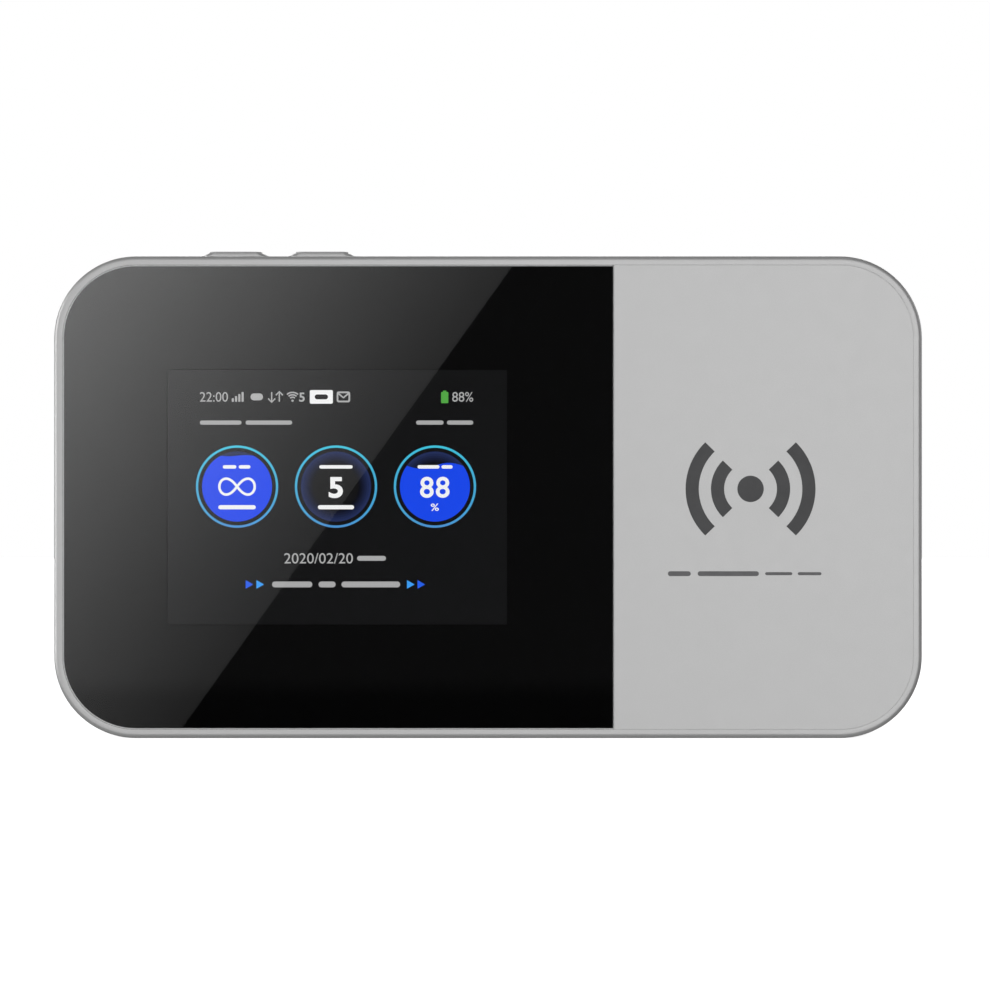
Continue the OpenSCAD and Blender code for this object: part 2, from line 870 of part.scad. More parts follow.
stand() {
    front_frame();
    cover_glass();
    glass_adhesive();
    front_panel();
    panel_adhesive();
    touch_sensor();
    lcd_cell();
    backlight_unit();
    display_bracket();
    display_flex();
    display_connector();
    heat_spreader();
    main_board();
    modem_shield();
    modem_chip();
    memory_chip();
    thermal_pad();
    radio_shield();
    radio_modules();
    wlan_shield();
    wlan_chip();
    power_chip();
    power_inductors();
    board_capacitors();
    port_shell();
    port_tongue();
    power_switch();
    pairing_switch();
    reset_switch();
    card_socket();
    battery_contacts();
    contact_springs();
    chassis();
    chassis_screws();
    bracket_screws();
    antenna_carrier();
    main_antenna();
    panel_antenna();
    side_antennas();
    antenna_springs();
    battery_pack();
    battery_end_cap();
    battery_terminals();
    back_cover();
    cover_film();
    power_button();
    power_plunger();
    pairing_button();
    pairing_plunger();
    reset_plunger();
    sim_card();
    sim_contacts();
}
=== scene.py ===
"""Looks of the pocket mobile hotspot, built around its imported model.

Places are written (u, v, d) in millimetres: u runs along the body from its middle towards the
plain panel, v runs up from the middle of its height towards the buttons, and d runs back from
the front plane. at() turns them into the frame's metres.
"""

import math

import bmesh
import bpy
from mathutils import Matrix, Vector

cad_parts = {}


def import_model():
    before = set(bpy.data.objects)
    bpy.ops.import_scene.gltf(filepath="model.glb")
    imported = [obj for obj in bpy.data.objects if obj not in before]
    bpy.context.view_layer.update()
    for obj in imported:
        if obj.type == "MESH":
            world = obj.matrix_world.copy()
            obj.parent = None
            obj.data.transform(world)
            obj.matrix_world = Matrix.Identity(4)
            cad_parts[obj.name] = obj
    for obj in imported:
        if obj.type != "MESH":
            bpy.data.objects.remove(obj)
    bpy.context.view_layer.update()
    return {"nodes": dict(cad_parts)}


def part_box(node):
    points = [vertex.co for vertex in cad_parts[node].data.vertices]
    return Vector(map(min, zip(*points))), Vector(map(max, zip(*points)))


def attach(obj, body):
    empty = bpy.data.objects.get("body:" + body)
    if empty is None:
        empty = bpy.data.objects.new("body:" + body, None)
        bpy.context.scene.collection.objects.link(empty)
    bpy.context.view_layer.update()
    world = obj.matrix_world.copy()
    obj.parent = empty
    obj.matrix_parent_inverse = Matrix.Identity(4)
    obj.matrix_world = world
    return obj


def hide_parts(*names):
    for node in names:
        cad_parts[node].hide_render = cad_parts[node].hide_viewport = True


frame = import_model()

# ---- Sizes, in millimetres ----

MM = 0.001
FRAME_LOW, FRAME_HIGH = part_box("front_frame")
ORIGIN = Vector(((FRAME_LOW.x + FRAME_HIGH.x) / 2, FRAME_LOW.y, (FRAME_LOW.z + FRAME_HIGH.z) / 2))
HALF_L = (FRAME_HIGH.x - FRAME_LOW.x) / 2 / MM
HALF_W = (FRAME_HIGH.z - FRAME_LOW.z) / 2 / MM
CORNER_R = 11.8
CORNER_STEPS = 24
ARC_STEPS = 8
SHARP_R = 0.03
SHARP_ANGLE = math.radians(35)
SAME_POINT = 1e-8  # metres

# The frame, as insets from the body's side and depths
RIM = 1.25
RIM_ROUND = 0.02
GROOVE_W = 0.04
GROOVE_D = 0.022
FRONT_ROUND = 0.7
WALL = 1.5
LEDGE_FRONT = 1.0
LEDGE_BACK = 2.0
CELL_GAP = 0.25
CELL_CORNER = 0.5

# The back cover and its lap over the frame's wall
COVER_DEPTH = 6.05
COVER_FLOOR = 1.3
SEAM_GAP = 0.15
SEAM_ROUND = 0.15
LAP_IN = 0.9
LAP_GAP = 0.05
LAP_L = 0.6
BACK_ROUND = 3.0
FLOOR_ROUND = 1.7

# The glass and the panel
PLATE_IN = 1.3
PLATE_ROUND = 0.02
INK_IN = 0.13
INK_END = 0.05
GLASS_EDGE = 0.01
GLASS_BACK = 0.82
PANEL_FRONT = 0.012
PANEL_BACK = 0.85
TOUCH_EDGE = 1.7

# Layers, as their front and back depths
WINDOW_LINE = (0.79, 0.81)
INK = (0.824, 0.846)
SCREEN = (0.845, 0.849)
GLOW = (0.839, 0.842)
FILL = (0.834, 0.837)
SYMBOL = (0.828, 0.831)
SYMBOL_UNDER = (0.832, 0.833)
PRINT = (0.002, PANEL_FRONT)


def at(u, v, d):
    """The frame's point for a place on the device"""
    return ORIGIN + Vector((u, d, v)) * MM


def span(node):
    """A CAD node's extent as (u0, u1), (v0, v1), (d0, d1)"""
    low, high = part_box(node)
    u, d, v = (((low[i] - ORIGIN[i]) / MM, (high[i] - ORIGIN[i]) / MM) for i in range(3))
    return u, v, d


def middle(pair):
    return (pair[0] + pair[1]) / 2


def around(u, v, outline):
    """An outline about a middle at (u, v)"""
    return [(u + a, v + b) for a, b in outline]


def back_depth():
    return span("back_cover")[2][1]


# ---- Materials ----

NOISE_LOW, NOISE_HIGH = 0.3, 0.7
WHITE = (1.0, 1.0, 1.0)


def surface(name, colour, rough, metal=0.0, **inputs):
    """A principled material with the given constant inputs"""
    made = bpy.data.materials.new(name)
    made.use_nodes = True
    shader = made.node_tree.nodes["Principled BSDF"]
    shader.inputs["Base Color"].default_value = (*colour, 1)
    shader.inputs["Roughness"].default_value = rough
    shader.inputs["Metallic"].default_value = metal
    for key, value in inputs.items():
        shader.inputs[key.replace("_", " ")].default_value = value
    return made


def pattern(mat, kind, scale, stretch=(1, 1, 1), **inputs):
    """The value of a procedural texture over the piece's own metres"""
    tree = mat.node_tree
    place = tree.nodes.new("ShaderNodeTexCoord")
    squeeze = tree.nodes.new("ShaderNodeMapping")
    texture = tree.nodes.new(kind)
    squeeze.inputs["Scale"].default_value = stretch
    texture.inputs["Scale"].default_value = scale
    for key, value in inputs.items():
        texture.inputs[key].default_value = value
    tree.links.new(place.outputs["Object"], squeeze.inputs["Vector"])
    tree.links.new(squeeze.outputs["Vector"], texture.inputs["Vector"])
    return texture.outputs[0]


def noise(mat, scale, stretch=(1, 1, 1), detail=2.0):
    return pattern(mat, "ShaderNodeTexNoise", scale, stretch, Detail=detail)


def vary_colour(mat, value, dark, light, start=NOISE_LOW, end=NOISE_HIGH):
    """Runs the base colour from dark to light with value"""
    tree = mat.node_tree
    ramp = tree.nodes.new("ShaderNodeValToRGB")
    first, last = ramp.color_ramp.elements
    first.position, last.position = start, end
    first.color, last.color = (*dark, 1), (*light, 1)
    tree.links.new(value, ramp.inputs["Fac"])
    tree.links.new(ramp.outputs["Color"], tree.nodes["Principled BSDF"].inputs["Base Color"])


def vary_rough(mat, value, low, high):
    """Runs the roughness from low to high with value"""
    tree = mat.node_tree
    scale = tree.nodes.new("ShaderNodeMapRange")
    scale.inputs["From Min"].default_value = NOISE_LOW
    scale.inputs["From Max"].default_value = NOISE_HIGH
    scale.inputs["To Min"].default_value = low
    scale.inputs["To Max"].default_value = high
    tree.links.new(value, scale.inputs["Value"])
    tree.links.new(scale.outputs["Result"], tree.nodes["Principled BSDF"].inputs["Roughness"])


def emboss(mat, value, depth):
    """Bumps the surface by value, over a depth in metres"""
    tree = mat.node_tree
    bump = tree.nodes.new("ShaderNodeBump")
    bump.inputs["Distance"].default_value = depth
    bump.inputs["Strength"].default_value = 1.0
    tree.links.new(value, bump.inputs["Height"])
    tree.links.new(bump.outputs["Normal"], tree.nodes["Principled BSDF"].inputs["Normal"])


def shade(colour, factor):
    return tuple(min(1, c * factor) for c in colour)


def paint(name, colour, rough, metal, flake=0.035):
    """Silver paint: fine metal flake, and a very shallow orange peel"""
    mat = surface(name, colour, rough, metal, Coat_Weight=0.12, Coat_Roughness=0.25)
    vary_colour(mat, noise(mat, 9000, detail=1), shade(colour, 1 - flake), shade(colour, 1 + flake))
    vary_rough(mat, noise(mat, 600), rough - 0.01, rough + 0.01)
    emboss(mat, noise(mat, 2400), 0.3e-6)
    return mat


def moulding(name, colour, rough, grain=3500, depth=6e-6):
    """Moulded plastic with the grain of a spark-eroded tool"""
    mat = surface(name, colour, rough)
    vary_colour(mat, noise(mat, 400), shade(colour, 0.85), shade(colour, 1.15))
    vary_rough(mat, noise(mat, 1200), rough - 0.06, rough + 0.06)
    emboss(mat, noise(mat, grain, detail=3), depth)
    return mat


def sheet_metal(name, colour, rough, stretch=(1, 1, 14), depth=0.6e-6):
    """Rolled or plated metal with a faint drawn grain"""
    mat = surface(name, colour, rough, 1.0)
    grain = noise(mat, 900, stretch, detail=4)
    vary_colour(mat, grain, shade(colour, 0.9), shade(colour, 1.08))
    vary_rough(mat, grain, rough - 0.07, rough + 0.07)
    emboss(mat, grain, depth)
    return mat


def film(name, colour, rough, contrast=0.08, scale=700):
    """Thin printed or coated film with a slight mottle"""
    mat = surface(name, colour, rough)
    vary_colour(mat, noise(mat, scale), shade(colour, 1 - contrast), shade(colour, 1 + contrast))
    vary_rough(mat, noise(mat, scale / 2), rough - 0.05, rough + 0.05)
    return mat


def solder_mask(name):
    """Green lacquer over copper traces"""
    mat = surface(name, (0.02, 0.2, 0.09), 0.35, Coat_Weight=0.4, Coat_Roughness=0.1)
    traces = pattern(mat, "ShaderNodeTexVoronoi", 420, (1, 1, 1), Randomness=0.4)
    vary_colour(mat, traces, (0.03, 0.26, 0.12), (0.012, 0.13, 0.06), 0.1, 0.45)
    emboss(mat, traces, 8e-6)
    return mat


def lens(name):
    """Clear polished cover glass"""
    mat = surface(name, (0.985, 0.99, 0.99), 0.0, Transmission_Weight=1.0, IOR=1.5)
    vary_colour(mat, noise(mat, 60), (0.975, 0.98, 0.98), (0.99, 0.995, 0.995))
    return mat


def ink(name):
    """Black ink printed on the back of the glass"""
    mat = surface(name, (0.0015, 0.0015, 0.0018), 0.6, Specular_IOR_Level=0.0)
    vary_colour(mat, noise(mat, 900), (0.0012, 0.0012, 0.0014), (0.0018, 0.0018, 0.0022))
    return mat


def glow(mat, colour, strength):
    """Gives a material a constant light of its own"""
    shader = mat.node_tree.nodes["Principled BSDF"]
    shader.inputs["Emission Color"].default_value = (*colour, 1)
    shader.inputs["Emission Strength"].default_value = strength


def lit(name, colour, strength):
    """A lit part of the display: constant light over a dark surface with its rows of cells"""
    mat = surface(name, (0.01, 0.01, 0.012), 0.5, Specular_IOR_Level=0.0)
    glow(mat, colour, strength)
    rows = pattern(mat, "ShaderNodeTexWave", 3000)
    vary_colour(mat, rows, (0.004, 0.004, 0.005), (0.01, 0.01, 0.012))
    return mat


def slot_looks():
    """The look of each of the record's material slots"""
    silver = (0.62, 0.62, 0.62)
    return {
        "frame_paint": paint("frame_paint_look", silver, 0.40, 0.60),
        "panel_paint": paint("panel_paint_look", silver, 0.40, 0.60),
        "cover_paint": paint("cover_paint_look", (0.60, 0.60, 0.605), 0.46, 0.5, 0.05),
        "button_paint": paint("button_paint_look", (0.68, 0.68, 0.68), 0.34, 0.50),
        "black_glass": lens("black_glass_look"),
        "tape": moulding("tape_look", (0.07, 0.07, 0.075), 0.85, 1500, 1e-5),
        "touch_film": film("touch_film_look", (0.012, 0.014, 0.016), 0.3),
        "lcd_glass": film("lcd_glass_look", (0.012, 0.016, 0.03), 0.2),
        "backlight_white": moulding("backlight_look", (0.8, 0.81, 0.82), 0.5, 1200, 2e-6),
        "stamped_steel": sheet_metal("stamped_steel_look", (0.62, 0.63, 0.64), 0.32),
        "flex_film": film("flex_film_look", (0.62, 0.3, 0.06), 0.3, 0.15),
        "connector_plastic": moulding("connector_look", (0.72, 0.68, 0.56), 0.5),
        "graphite": moulding("graphite_look", (0.06, 0.06, 0.065), 0.55, 900, 4e-6),
        "board_mask": solder_mask("board_mask_look"),
        "chip_black": moulding("chip_black_look", (0.02, 0.02, 0.022), 0.45),
        "thermal_pink": moulding("thermal_pink_look", (0.7, 0.36, 0.42), 0.8, 1500, 1e-5),
        "ferrite": moulding("ferrite_look", (0.09, 0.09, 0.095), 0.6),
        "ceramic": moulding("ceramic_look", (0.38, 0.27, 0.15), 0.45),
        "port_steel": sheet_metal("port_steel_look", (0.6, 0.6, 0.62), 0.28),
        "contact_gold": sheet_metal("contact_gold_look", (0.92, 0.69, 0.3), 0.3, depth=0.2e-6),
        "chassis_black": moulding("chassis_black_look", (0.022, 0.022, 0.024), 0.5, 2600, 1.2e-5),
        "screw_steel": sheet_metal("screw_steel_look", (0.5, 0.5, 0.52), 0.3, (1, 1, 1)),
        "carrier_black": moulding("carrier_black_look", (0.018, 0.018, 0.02), 0.42),
        "antenna_metal": sheet_metal("antenna_metal_look", (0.9, 0.66, 0.31), 0.42, depth=0.2e-6),
        "battery_wrap": film("battery_wrap_look", (0.7, 0.71, 0.71), 0.36, 0.03),
        "battery_black": moulding("battery_black_look", (0.02, 0.02, 0.022), 0.5),
        "plunger_plastic": moulding("plunger_look", (0.05, 0.05, 0.055), 0.5),
        "card_white": film("card_white_look", (0.8, 0.8, 0.78), 0.5, 0.02),
    }


LOOKS = slot_looks()


# ---- Shapes ----

def rounded(half_a, half_b, radii, steps=CORNER_STEPS):
    """Rounded rectangle, anticlockwise, with a radius for each corner from the upper right on"""
    loop = []
    for i, (sa, sb) in enumerate(((1, 1), (-1, 1), (-1, -1), (1, -1))):
        r = max(radii[i], SHARP_R)
        for k in range(steps + 1):
            turn = math.pi / 2 * (i + k / steps)
            loop.append((sa * (half_a - r) + r * math.cos(turn),
                         sb * (half_b - r) + r * math.sin(turn)))
    return loop


def arc(a, b, r, start, end, steps=ARC_STEPS):
    """Points on a circle about (a, b), its angles in degrees"""
    turns = (math.radians(start + (end - start) * k / steps) for k in range(steps + 1))
    return [(a + r * math.cos(t), b + r * math.sin(t)) for t in turns]


def loft(bm, rings, closed=False):
    """Skin over rings with as many points each: capped, or closed like a tyre"""
    made = [[bm.verts.new(point) for point in ring] for ring in rings]
    following = made[1:] + made[:1] if closed else made[1:]
    for one, other in zip(made, following):
        for i in range(len(one)):
            j = (i + 1) % len(one)
            bm.faces.new((one[i], one[j], other[j], other[i]))
    if not closed:
        bm.faces.new(made[0])
        bm.faces.new(made[-1])


def plate(bm, outline, layer):
    """Flat closed plate with a (u, v) outline, between a layer's two depths"""
    loft(bm, [[at(u, v, d) for u, v in outline] for d in layer])


def hoop(bm, outer, inner, layer):
    """Flat closed ring between two (u, v) outlines with as many points each"""
    front, back = layer
    rings = [(outer, front), (inner, front), (inner, back), (outer, back)]
    loft(bm, [[at(u, v, d) for u, v in outline] for outline, d in rings], closed=True)


def bar(bm, u0, u1, v0, v1, layer, r=None):
    """Flat bar with rounded ends"""
    half_a, half_b = (u1 - u0) / 2, (v1 - v0) / 2
    r = min(half_a, half_b) if r is None else r
    plate(bm, around(u0 + half_a, v0 + half_b, rounded(half_a, half_b, [r] * 4, 6)), layer)


def stroke(bm, points, width, layer):
    """Flat stroke of constant width along open (u, v) points"""
    left, right = [], []
    for i, (u, v) in enumerate(points):
        before, after = points[max(i - 1, 0)], points[min(i + 1, len(points) - 1)]
        du, dv = after[0] - before[0], after[1] - before[1]
        scale = width / 2 / math.hypot(du, dv)
        left.append((u - dv * scale, v + du * scale))
        right.append((u + dv * scale, v - du * scale))
    plate(bm, left + right[::-1], layer)


def disc(centre, r, steps=48):
    """Round outline"""
    return arc(centre[0], centre[1], r, 0, 360 - 360 / steps, steps - 1)


def evaluated_mesh(source):
    """Mesh of an object with its modifiers applied"""
    bpy.context.view_layer.update()
    return bpy.data.meshes.new_from_object(
        source.evaluated_get(bpy.context.evaluated_depsgraph_get()))


def numerals(bm, text, box, layer, weight=0.0, spacing=1.0):
    """Figures set in the box (u0, u1, v0, v1), as closed plates"""
    lettering = bpy.data.curves.new("numerals", "FONT")
    lettering.body = text
    lettering.extrude = 0.5
    lettering.offset = weight
    lettering.space_character = spacing
    lettering.resolution_u = 5
    maker = bpy.data.objects.new("numerals", lettering)
    bpy.context.scene.collection.objects.link(maker)
    mesh = evaluated_mesh(maker)
    bpy.data.objects.remove(maker)
    low = [min(vert.co[i] for vert in mesh.vertices) for i in range(2)]
    high = [max(vert.co[i] for vert in mesh.vertices) for i in range(2)]
    for vert in mesh.vertices:
        share = [(vert.co[i] - low[i]) / (high[i] - low[i]) for i in range(2)]
        depth = layer[0] if vert.co.z > 0 else layer[1]
        u = box[0] + share[0] * (box[1] - box[0])
        v = box[2] + share[1] * (box[3] - box[2])
        vert.co = at(u, v, depth)
    bm.from_mesh(mesh)
    bpy.data.meshes.remove(mesh)


def finish_mesh(name, bm):
    """Object made of the mesh, with its faces turned outwards"""
    bmesh.ops.remove_doubles(bm, verts=bm.verts, dist=SAME_POINT)
    bmesh.ops.recalc_face_normals(bm, faces=bm.faces)
    mesh = bpy.data.meshes.new(name)
    bm.to_mesh(mesh)
    bm.free()
    made = bpy.data.objects.new(name, mesh)
    bpy.context.scene.collection.objects.link(made)
    return made


def soften(made):
    """Smooth shading across gentle edges, which keeps flat faces flat"""
    made.data.shade_smooth()
    made.data.set_sharp_from_angle(angle=SHARP_ANGLE)
    weigh = made.modifiers.new("weighted_normals", "WEIGHTED_NORMAL")
    weigh.keep_sharp = True


def combine(made, tool, operation):
    """Cuts the tool out of a mesh or joins it on, and removes the tool"""
    change = made.modifiers.new("combine", "BOOLEAN")
    change.operation = operation
    change.solver = "EXACT"
    change.object = tool
    done = evaluated_mesh(made)
    made.modifiers.clear()
    made.data = done
    bpy.data.objects.remove(tool)


def adopt(made, body, slot, looks=None, replaces=()):
    """Gives a piece its looks, its slot's look unless looks are given, and lets it ride on its body
    """
    soften(made)
    made.data.materials.clear()
    for look in looks or [LOOKS[slot]]:
        made.data.materials.append(look)
    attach(made, body)
    if replaces:
        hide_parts(*replaces)
    return made


def thin_piece(name, bm, look, slot="lcd_glass", body="housing"):
    """A piece of flat plates, such as print or symbols"""
    return adopt(finish_mesh(name, bm), body, slot, [look])


def body_ring(inset, d):
    """The body's outline moved inwards by inset, at a depth"""
    outline = rounded(HALF_L - inset, HALF_W - inset, [CORNER_R - inset] * 4)
    return [at(u, v, d) for u, v in outline]


def pill(l, h):
    """Outline of a long round-ended bar"""
    return rounded(l / 2, h / 2, [h / 2] * 4, 10)


def mouth(l, h, deep, r):
    """Sections (length, height, level) of a cutter for a hole whose mouth at level 0 is rounded"""
    levels = [(0, -deep)] + arc(r, -r, r, 180, 90, 5) + [(r, 1)]
    return [(l + 2 * flare, h + 2 * flare, level) for flare, level in levels]


# ---- Front frame ----

BUTTONS = ("power_button", "pairing_button")
BUTTON_L, BUTTON_H = 9.8, 3.2
BUTTON_GAP = 0.15
PORT_MOUTH = (9.24, 3.46)
SCREW_U = (-46.5, -10, 25)
SCREW_V = 25
SCREW_HEAD_R = 1.25
POST_R, POST_BACK = 1.7, 5.45
PILOT_R, PILOT_FRONT = 0.75, 2.6


def button_ring(node, l, h, level):
    """A pill in the upper wall about a button's middle, at a level above the wall"""
    u, _, d = span(node)
    return [at(a, HALF_W + level, b) for a, b in around(middle(u), middle(d), pill(l, h))]


def port_ring(l, h, level):
    """A pill in the left wall about the port's middle, at a level outside the wall"""
    _, v, d = span("port_tongue")
    return [at(-HALF_L - level, a, b) for a, b in around(middle(v), middle(d), pill(l, h))]


def frame_openings():
    """Cutter for the two button openings and the port's opening"""
    bm = bmesh.new()
    opening = (BUTTON_L + 2 * BUTTON_GAP, BUTTON_H + 2 * BUTTON_GAP)
    for node in BUTTONS:
        loft(bm, [button_ring(node, *section) for section in mouth(*opening, WALL + 1, 0.1)])
    loft(bm, [port_ring(*section) for section in mouth(*PORT_MOUTH, WALL + 1, 0.15)])
    return finish_mesh("openings", bm)


def round_post(bm, u, v, r, d0, d1, steps=32):
    loft(bm, [[at(a, b, d) for a, b in disc((u, v), r, steps)] for d in (d0, d1)])


def frame_posts():
    """Screw posts behind the ledge, over the chassis screws' middles"""
    bm = bmesh.new()
    for u, v in screw_places():
        round_post(bm, u, v, POST_R, LEDGE_BACK - 0.1, POST_BACK)
    return finish_mesh("posts", bm)


def frame_pilots():
    """Cutter for the posts' screw holes"""
    bm = bmesh.new()
    for u, v in screw_places():
        round_post(bm, u, v, PILOT_R, PILOT_FRONT, POST_BACK + 0.55, 24)
    return finish_mesh("pilots", bm)


def screw_places():
    """Middles of the chassis screws: three along each long edge, and two at the panel's end"""
    screws_u, screws_v, _ = span("chassis_screws")
    last_u, last_v = screws_u[1] - SCREW_HEAD_R, screws_v[1] - SCREW_HEAD_R
    rows = [(u, side * last_v) for u in SCREW_U for side in (-1, 1)]
    return rows + [(last_u, side * SCREW_V) for side in (-1, 1)]


def cell_window():
    """Outline of the ledge's window, round the display cell"""
    (u0, u1), (v0, v1), _ = span("lcd_cell")
    half_a, half_b = (u1 - u0) / 2 + CELL_GAP, (v1 - v0) / 2 + CELL_GAP
    return around(middle((u0, u1)), 0, rounded(half_a, half_b, [CELL_CORNER] * 4))


def frame_outside(seam):
    """Section of the wall's outside and the rim as (inset, depth), from the seam to the ledge"""
    return (arc(SEAM_ROUND, seam - SEAM_ROUND, SEAM_ROUND, 90, 180)
            + arc(FRONT_ROUND, FRONT_ROUND, FRONT_ROUND, 180, 270)
            + arc(RIM - RIM_ROUND, RIM_ROUND, RIM_ROUND, 270, 360, 4)
            + [(RIM, GROOVE_D), (RIM + GROOVE_W, GROOVE_D), (RIM + GROOVE_W, LEDGE_FRONT)])


def front_frame():
    """Rim, walls and ledge in one moulding"""
    seam = back_depth() - COVER_DEPTH - SEAM_GAP
    rebate = seam - LAP_L
    inside = [(WALL, LEDGE_BACK), (WALL, rebate), (LAP_IN, rebate), (LAP_IN, seam)]
    rings = [body_ring(inset, d) for inset, d in frame_outside(seam)]
    rings += [[at(u, v, d) for u, v in cell_window()] for d in (LEDGE_FRONT, LEDGE_BACK)]
    rings += [body_ring(inset, d) for inset, d in inside]
    bm = bmesh.new()
    loft(bm, rings, closed=True)
    made = finish_mesh("frame_shell", bm)
    combine(made, frame_posts(), "UNION")
    combine(made, frame_pilots(), "DIFFERENCE")
    combine(made, frame_openings(), "DIFFERENCE")
    adopt(made, "housing", "frame_paint", replaces=["front_frame"])


# ---- Glass, panel and print ----

def plate_outline(node, inset, square_end, end_inset=None):
    """Outline of the glass or the panel, moved inwards by inset. The square end, by the split, is
    at +u for 1 and at -u for -1, and may have an inset of its own"""
    (u0, u1), (v0, v1), _ = span(node)
    end_inset = inset if end_inset is None else end_inset
    r = CORNER_R - PLATE_IN - inset
    radii = [SHARP_R] * 4
    for corner in ((1, 2) if square_end > 0 else (0, 3)):
        radii[corner] = r
    half_a, half_b = (u1 - u0 - inset - end_inset) / 2, (v1 - v0) / 2 - inset
    centre = middle((u0, u1)) + square_end * (inset - end_inset) / 2
    return around(centre, 0, rounded(half_a, half_b, radii))


def front_plate(node, square_end, front, back):
    """Plate with a rounded front edge"""
    bm = bmesh.new()
    edge = arc(PLATE_ROUND, front + PLATE_ROUND, PLATE_ROUND, 180, 270, 5)
    profile = [(0, back)] + edge
    loft(bm, [[at(u, v, d) for u, v in plate_outline(node, inset, square_end)]
              for inset, d in profile])
    return bm


def display_area(margin=0.0):
    """Extent (u0, u1, v0, v1) of the lit area, with a margin"""
    (u0, u1), (v0, v1), _ = span("touch_sensor")
    spare = TOUCH_EDGE - margin
    return u0 + spare, u1 - spare, v0 + spare, v1 - spare


VIEW_U = middle(display_area()[:2])


def display_outline(margin, corner_r):
    """Rounded outline of the lit area, with a margin"""
    u0, u1, v0, v1 = display_area(margin)
    return around(VIEW_U, 0, rounded((u1 - u0) / 2, (v1 - v0) / 2, [corner_r] * 4))


def cover_glass():
    made = finish_mesh("glass_slab", front_plate("cover_glass", 1, 0.0, GLASS_BACK))
    adopt(made, "housing", "black_glass", replaces=["cover_glass"])


def window_line():
    """Hairline in the glass round the display's window"""
    bm = bmesh.new()
    hoop(bm, display_outline(0.1, 0.05), display_outline(-0.02, 0.05), WINDOW_LINE)
    thin_piece("window_line", bm, ink("window_line_look"), "black_glass")


def border_paint_and_glow():
    """Silver under the glass, with a faint painted light of its own in place of the light the glass
    keeps from it
    """
    mat = paint("glass_border_look", (0.86, 0.86, 0.86), 0.5, 0.1)
    # painted light: a constant white glow that brightens the strip, which no lamp gives
    glow(mat, WHITE, 0.2)
    return mat


def ink_mask():
    """Black ink behind the glass, with a clear window over the display and a silver border that glows
    faintly with painted light
    """
    outline = plate_outline("cover_glass", INK_IN, 1, INK_END)
    bm = bmesh.new()
    hoop(bm, outline, display_outline(0.05, 0.3), INK)
    thin_piece("ink_mask", bm, ink("ink_look"), "black_glass")
    bm = bmesh.new()
    hoop(bm, plate_outline("cover_glass", GLASS_EDGE, 1), outline, INK)
    thin_piece("glass_border", bm, border_paint_and_glow(), "panel_paint")


def front_panel():
    made = finish_mesh("panel_plate", front_plate("front_panel", -1, PANEL_FRONT, PANEL_BACK))
    adopt(made, "housing", "panel_paint", replaces=["front_panel"])


MARK_IN = 19.65
MARK_V = 1.2
MARK_DOT_R = 1.9
MARK_R = (4.75, 8.4)
MARK_REACH = 46
MARK_STROKE = 1.9
LINES_V = -11.0


def wave_mark(bm, u, v):
    """Generic radio mark: a dot with two arcs on each side"""
    plate(bm, disc((u, v), MARK_DOT_R), PRINT)
    for r in MARK_R:
        for facing in (0, 180):
            points = arc(u, v, r, facing - MARK_REACH, facing + MARK_REACH, 24)
            stroke(bm, points, MARK_STROKE, PRINT)


def panel_print():
    """Dark mark on the panel, and a row of plain bars below it"""
    centre = span("front_panel")[0][0] + MARK_IN
    bm = bmesh.new()
    wave_mark(bm, centre, MARK_V)
    thin_piece("panel_mark", bm, film("mark_ink_look", (0.075, 0.075, 0.078), 0.5), "panel_paint")
    bars = ((-11.9, -8.6, 0.35), (-7.6, 1.2, 0.35), (2.1, 6.0, 0.22), (6.8, 10.2, 0.22))
    bm = bmesh.new()
    for left, right, half in bars:
        bar(bm, centre + left, centre + right, LINES_V - half, LINES_V + half, PRINT)
    thin_piece("panel_lines", bm, film("line_ink_look", (0.16, 0.16, 0.165), 0.5), "panel_paint")


# ---- Display symbols ----

DIAL_V = 1.53
DIALS = (-14.44, -0.19, 14.06)
RING_R = 5.76
RING_W = 0.33
DISC_R = 5.06


def screen_face():
    """The dark lit area behind everything on the display"""
    u0, u1, v0, v1 = display_area(0.15)
    bm = bmesh.new()
    bar(bm, u0, u1, v0, v1, SCREEN, 0.05)
    thin_piece("screen_face", bm, lit("screen_look", (0.96, 0.98, 1.0), 0.0036))


def blend_colours(one, other, share):
    return tuple(a + (b - a) * share for a, b in zip(one, other))


def dial_rings():
    """Thin rings, cyan at the top and blue at the bottom, in steps"""
    cyan, blue = (0.055, 0.56, 0.74), (0.075, 0.3, 0.66)
    steps = 8
    looks = [lit(f"ring_look_{k}", blend_colours(blue, cyan, k / (steps - 1)), 1.0)
             for k in range(steps)]
    for k in range(steps):
        low, high = -90 + 180 * k / steps, -90 + 180 * (k + 1) / steps
        bm = bmesh.new()
        for centre in DIALS:
            for start, end in ((low, high), (180 - high, 180 - low)):
                stroke(bm, arc(VIEW_U + centre, DIAL_V, RING_R, start, end, 8), RING_W, FILL)
        thin_piece(f"dial_ring_{k}", bm, looks[k])


def dial_glow():
    """Blue glow inside each dial's edge, fading towards its middle"""
    steps, width = 6, 0.3
    for k in range(steps):
        bm = bmesh.new()
        outer = DISC_R - k * width
        for centre in DIALS:
            middle_at = (VIEW_U + centre, DIAL_V)
            hoop(bm, disc(middle_at, outer), disc(middle_at, outer - width), GLOW)
        fade = (1 - k / steps) ** 1.6
        thin_piece(f"dial_glow_{k}", bm, lit(f"glow_look_{k}", (0.09, 0.16, 0.62), 0.16 * fade))


def filled_disc(bm, centre, level, swell):
    """Disc filled up to a wavy level above its middle"""
    r = DISC_R - 0.02
    u, v = VIEW_U + centre, DIAL_V
    turn = math.degrees(math.asin(level / r))
    reach = r * math.cos(math.radians(turn))
    rim = arc(u, v, r, 180 - turn, 360 + turn, 60)
    steps = 24
    wave = [(u + reach - 2 * reach * k / steps,
             v + level + swell * math.sin(2 * math.pi * k / steps)) for k in range(1, steps)]
    plate(bm, rim + wave, FILL)


